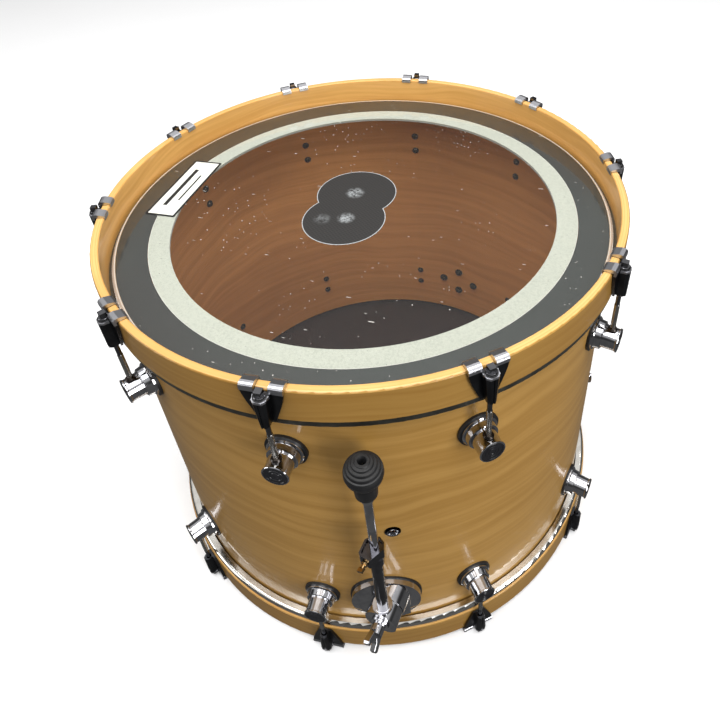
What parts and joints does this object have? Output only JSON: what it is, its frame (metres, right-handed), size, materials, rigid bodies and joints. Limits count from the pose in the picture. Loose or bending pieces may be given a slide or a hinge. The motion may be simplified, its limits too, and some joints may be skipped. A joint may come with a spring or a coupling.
{
  "type": "bass drum",
  "caption": "Wooden bass drum with clear felt-ringed batter head, wooden hoops, claws with key rods, turret lugs and folding telescopic spurs.",
  "frame": {"origin": "centre of the drum on the floor that it stands on, under the hooks of the resonant-side claws", "axes": "+Z along the drum axis from the resonant head to the batter head; -X is the side that faces up when the drum is played; the two spurs mirror each other in Y, left at -Y as the drummer sits"},
  "size_m": [0.5916, 0.6662, 0.4754],
  "materials": {
    "black_film": "black polyester film",
    "black_nylon": "moulded",
    "black_rubber": "moulded",
    "brass_screw": "polished",
    "chrome_casting": "polished",
    "chrome_rod": "polished",
    "claw_nickel": "black nickel plate",
    "clear_film": "clear polyester film",
    "dark_cap": "moulded",
    "dark_chrome": "black chrome plate",
    "dark_steel": "dark zinc plate",
    "grey_film_ring": "satin",
    "hoop_maple": "gloss lacquer over maple plies",
    "polished_steel_hoop": "polished",
    "satin_aluminium": "satin",
    "shell_maple": "gloss lacquer over maple veneer",
    "white_felt": "needled felt",
    "woven_patch": "coated weave"
  },
  "bodies": {
    "root": {"batter_claws": "claw_nickel", "batter_flesh_hoop": "satin_aluminium", "batter_head_film": "clear_film", "batter_hoop": "hoop_maple", "claw_pads": "black_rubber", "head_edge_ring": "grey_film_ring", "kick_patch": "woven_patch", "left_spur_base": "chrome_casting", "lug_caps": "dark_cap", "lug_castings": "chrome_casting", "lug_gaskets": "black_rubber", "lug_inserts": "dark_steel", "lug_screw_washers": "dark_steel", "lug_screws": "dark_steel", "muffle_ring": "white_felt", "resonant_claws": "claw_nickel", "resonant_flesh_hoop": "polished_steel_hoop", "resonant_head_film": "black_film", "resonant_hoop": "hoop_maple", "right_spur_base": "chrome_casting", "rod_washers": "black_nylon", "shell": "shell_maple", "spur_gaskets": "black_rubber", "spur_mount_bolts": "dark_steel", "vent_eyelet": "dark_chrome"},
    "batter_rod_01": {"batter_rod_01": "chrome_rod"},
    "batter_rod_02": {"batter_rod_02": "chrome_rod"},
    "batter_rod_03": {"batter_rod_03": "chrome_rod"},
    "batter_rod_04": {"batter_rod_04": "chrome_rod"},
    "batter_rod_05": {"batter_rod_05": "chrome_rod"},
    "batter_rod_06": {"batter_rod_06": "chrome_rod"},
    "batter_rod_07": {"batter_rod_07": "chrome_rod"},
    "batter_rod_08": {"batter_rod_08": "chrome_rod"},
    "batter_rod_09": {"batter_rod_09": "chrome_rod"},
    "batter_rod_10": {"batter_rod_10": "chrome_rod"},
    "resonant_rod_01": {"resonant_rod_01": "chrome_rod"},
    "resonant_rod_02": {"resonant_rod_02": "chrome_rod"},
    "resonant_rod_03": {"resonant_rod_03": "chrome_rod"},
    "resonant_rod_04": {"resonant_rod_04": "chrome_rod"},
    "resonant_rod_05": {"resonant_rod_05": "chrome_rod"},
    "resonant_rod_06": {"resonant_rod_06": "chrome_rod"},
    "resonant_rod_07": {"resonant_rod_07": "chrome_rod"},
    "resonant_rod_08": {"resonant_rod_08": "chrome_rod"},
    "resonant_rod_09": {"resonant_rod_09": "chrome_rod"},
    "resonant_rod_10": {"resonant_rod_10": "chrome_rod"},
    "left_spur_leg": {"left_spur_knuckle": "chrome_casting", "left_spur_leg_tube": "dark_chrome", "left_spur_clamp_collar": "dark_chrome"},
    "left_spur_rod": {"left_spur_leg_rod": "chrome_casting"},
    "left_spur_tip": {"left_spur_foot": "black_rubber"},
    "left_spur_clamp": {"left_spur_clamp_screw": "brass_screw"},
    "left_spur_lock": {"left_spur_pivot_bolt": "chrome_casting"},
    "right_spur_leg": {"right_spur_knuckle": "chrome_casting", "right_spur_leg_tube": "dark_chrome", "right_spur_clamp_collar": "dark_chrome"},
    "right_spur_rod": {"right_spur_leg_rod": "chrome_casting"},
    "right_spur_tip": {"right_spur_foot": "black_rubber"},
    "right_spur_clamp": {"right_spur_clamp_screw": "brass_screw"},
    "right_spur_lock": {"right_spur_pivot_bolt": "chrome_casting"}
  },
  "joints": [
    {"name": "batter_rod_01_turn", "type": "hinge", "parent": "root", "child": "batter_rod_01", "pos_m": [0.28341, 0.09209, 0.4209], "axis": [0, 0, 1], "continuous": true},
    {"name": "batter_rod_02_turn", "type": "hinge", "parent": "root", "child": "batter_rod_02", "pos_m": [0.17516, 0.24109, 0.4209], "axis": [0, 0, 1], "continuous": true},
    {"name": "batter_rod_03_turn", "type": "hinge", "parent": "root", "child": "batter_rod_03", "pos_m": [0, 0.298, 0.4209], "axis": [0, 0, 1], "continuous": true},
    {"name": "batter_rod_04_turn", "type": "hinge", "parent": "root", "child": "batter_rod_04", "pos_m": [-0.17516, 0.24109, 0.4209], "axis": [0, 0, 1], "continuous": true},
    {"name": "batter_rod_05_turn", "type": "hinge", "parent": "root", "child": "batter_rod_05", "pos_m": [-0.28341, 0.09209, 0.4209], "axis": [0, 0, 1], "continuous": true},
    {"name": "batter_rod_06_turn", "type": "hinge", "parent": "root", "child": "batter_rod_06", "pos_m": [-0.28341, -0.09209, 0.4209], "axis": [0, 0, 1], "continuous": true},
    {"name": "batter_rod_07_turn", "type": "hinge", "parent": "root", "child": "batter_rod_07", "pos_m": [-0.17516, -0.24109, 0.4209], "axis": [0, 0, 1], "continuous": true},
    {"name": "batter_rod_08_turn", "type": "hinge", "parent": "root", "child": "batter_rod_08", "pos_m": [0, -0.298, 0.4209], "axis": [0, 0, 1], "continuous": true},
    {"name": "batter_rod_09_turn", "type": "hinge", "parent": "root", "child": "batter_rod_09", "pos_m": [0.17516, -0.24109, 0.4209], "axis": [0, 0, 1], "continuous": true},
    {"name": "batter_rod_10_turn", "type": "hinge", "parent": "root", "child": "batter_rod_10", "pos_m": [0.28341, -0.09209, 0.4209], "axis": [0, 0, 1], "continuous": true},
    {"name": "resonant_rod_01_turn", "type": "hinge", "parent": "root", "child": "resonant_rod_01", "pos_m": [0.28341, 0.09209, 0.0545], "axis": [0, 0, -1], "continuous": true},
    {"name": "resonant_rod_02_turn", "type": "hinge", "parent": "root", "child": "resonant_rod_02", "pos_m": [0.17516, 0.24109, 0.0545], "axis": [0, 0, -1], "continuous": true},
    {"name": "resonant_rod_03_turn", "type": "hinge", "parent": "root", "child": "resonant_rod_03", "pos_m": [0, 0.298, 0.0545], "axis": [0, 0, -1], "continuous": true},
    {"name": "resonant_rod_04_turn", "type": "hinge", "parent": "root", "child": "resonant_rod_04", "pos_m": [-0.17516, 0.24109, 0.0545], "axis": [0, 0, -1], "continuous": true},
    {"name": "resonant_rod_05_turn", "type": "hinge", "parent": "root", "child": "resonant_rod_05", "pos_m": [-0.28341, 0.09209, 0.0545], "axis": [0, 0, -1], "continuous": true},
    {"name": "resonant_rod_06_turn", "type": "hinge", "parent": "root", "child": "resonant_rod_06", "pos_m": [-0.28341, -0.09209, 0.0545], "axis": [0, 0, -1], "continuous": true},
    {"name": "resonant_rod_07_turn", "type": "hinge", "parent": "root", "child": "resonant_rod_07", "pos_m": [-0.17516, -0.24109, 0.0545], "axis": [0, 0, -1], "continuous": true},
    {"name": "resonant_rod_08_turn", "type": "hinge", "parent": "root", "child": "resonant_rod_08", "pos_m": [0, -0.298, 0.0545], "axis": [0, 0, -1], "continuous": true},
    {"name": "resonant_rod_09_turn", "type": "hinge", "parent": "root", "child": "resonant_rod_09", "pos_m": [0.17516, -0.24109, 0.0545], "axis": [0, 0, -1], "continuous": true},
    {"name": "resonant_rod_10_turn", "type": "hinge", "parent": "root", "child": "resonant_rod_10", "pos_m": [0.28341, -0.09209, 0.0545], "axis": [0, 0, -1], "continuous": true},
    {"name": "left_spur_fold", "type": "hinge", "parent": "root", "child": "left_spur_leg", "pos_m": [0.07753, -0.29706, 0.124], "axis": [0.1736, 0.9848, 0], "range_deg": [0, 125]},
    {"name": "left_spur_extend", "type": "slide", "parent": "left_spur_leg", "child": "left_spur_rod", "axis": [0, 0, 1], "range_m": [-0.02, 0.028]},
    {"name": "left_spur_foot_screw", "type": "slide", "parent": "left_spur_rod", "child": "left_spur_tip", "axis": [0, 0, -1], "range_m": [0, 0.012]},
    {"name": "left_spur_clamp_turn", "type": "hinge", "parent": "left_spur_leg", "child": "left_spur_clamp", "pos_m": [0.07348, -0.30321, 0.256], "axis": [-0.309, -0.9511, 0], "continuous": true},
    {"name": "left_spur_lock_turn", "type": "hinge", "parent": "root", "child": "left_spur_lock", "pos_m": [0.07753, -0.29706, 0.124], "axis": [-0.1736, -0.9848, 0], "continuous": true},
    {"name": "right_spur_fold", "type": "hinge", "parent": "root", "child": "right_spur_leg", "pos_m": [0.07753, 0.29706, 0.124], "axis": [-0.1736, 0.9848, 0], "range_deg": [0, 125]},
    {"name": "right_spur_extend", "type": "slide", "parent": "right_spur_leg", "child": "right_spur_rod", "axis": [0, 0, 1], "range_m": [-0.02, 0.028]},
    {"name": "right_spur_foot_screw", "type": "slide", "parent": "right_spur_rod", "child": "right_spur_tip", "axis": [0, 0, -1], "range_m": [0, 0.012]},
    {"name": "right_spur_clamp_turn", "type": "hinge", "parent": "right_spur_leg", "child": "right_spur_clamp", "pos_m": [0.07348, 0.30321, 0.256], "axis": [0.309, -0.9511, 0], "continuous": true},
    {"name": "right_spur_lock_turn", "type": "hinge", "parent": "root", "child": "right_spur_lock", "pos_m": [0.07753, 0.29706, 0.124], "axis": [0.1736, -0.9848, 0], "continuous": true}
  ]
}
